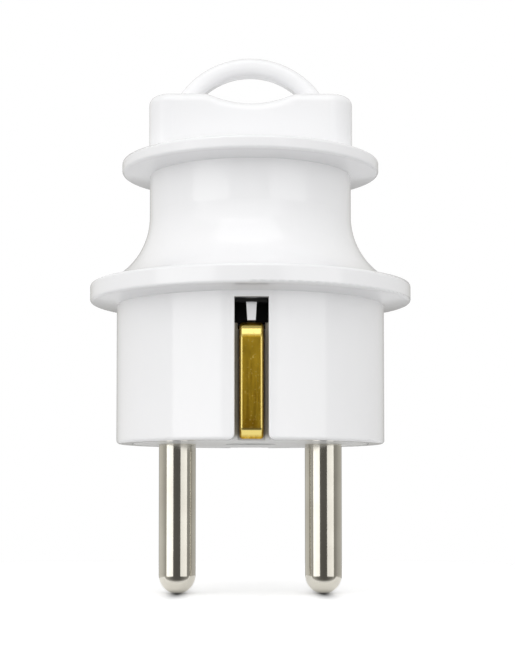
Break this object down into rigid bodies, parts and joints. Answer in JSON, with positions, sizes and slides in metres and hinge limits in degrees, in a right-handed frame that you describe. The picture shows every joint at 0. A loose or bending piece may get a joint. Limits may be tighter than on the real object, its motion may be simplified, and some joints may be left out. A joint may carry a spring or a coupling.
{
  "type": "electrical plug",
  "caption": "Earthed mains plug with round pins, side earth clips, a flanged spool-shaped grip with a pull loop on top, and a cord inlet at the back.",
  "frame": {"origin": "centre of the engagement face, midway between the pins where they leave the body", "axes": "+Z from the engagement face to the pull loop, X through both pins, the earth clips face -Y and +Y, the cord inlet faces +Y"},
  "size_m": [0.0418, 0.0418, 0.07],
  "materials": {
    "housing_plastic": "glossy white moulding",
    "base_plastic": "satin white moulding",
    "nickel_plated_brass": "turned, nickel plated",
    "brass_strip": "rolled strip, slightly tarnished",
    "black_insulation": "matt black moulding",
    "zinc_plated_steel": "zinc plated",
    "grip_plastic": "satin white moulding",
    "turned_brass": "turned"
  },
  "bodies": {
    "root": {"housing": "housing_plastic", "contact_base": "base_plastic", "pin_left": "nickel_plated_brass", "pin_right": "nickel_plated_brass", "earth_strap": "brass_strip", "terminal_shroud": "black_insulation", "pin_screw_left": "zinc_plated_steel", "pin_screw_right": "zinc_plated_steel", "earth_screw": "zinc_plated_steel", "earth_washer": "zinc_plated_steel", "earth_nut": "zinc_plated_steel", "cord_saddle": "grip_plastic", "cord_clamp": "grip_plastic", "clamp_screw_left": "zinc_plated_steel", "clamp_screw_right": "zinc_plated_steel", "housing_screw": "zinc_plated_steel", "threaded_insert": "turned_brass"}
  },
  "joints": []
}
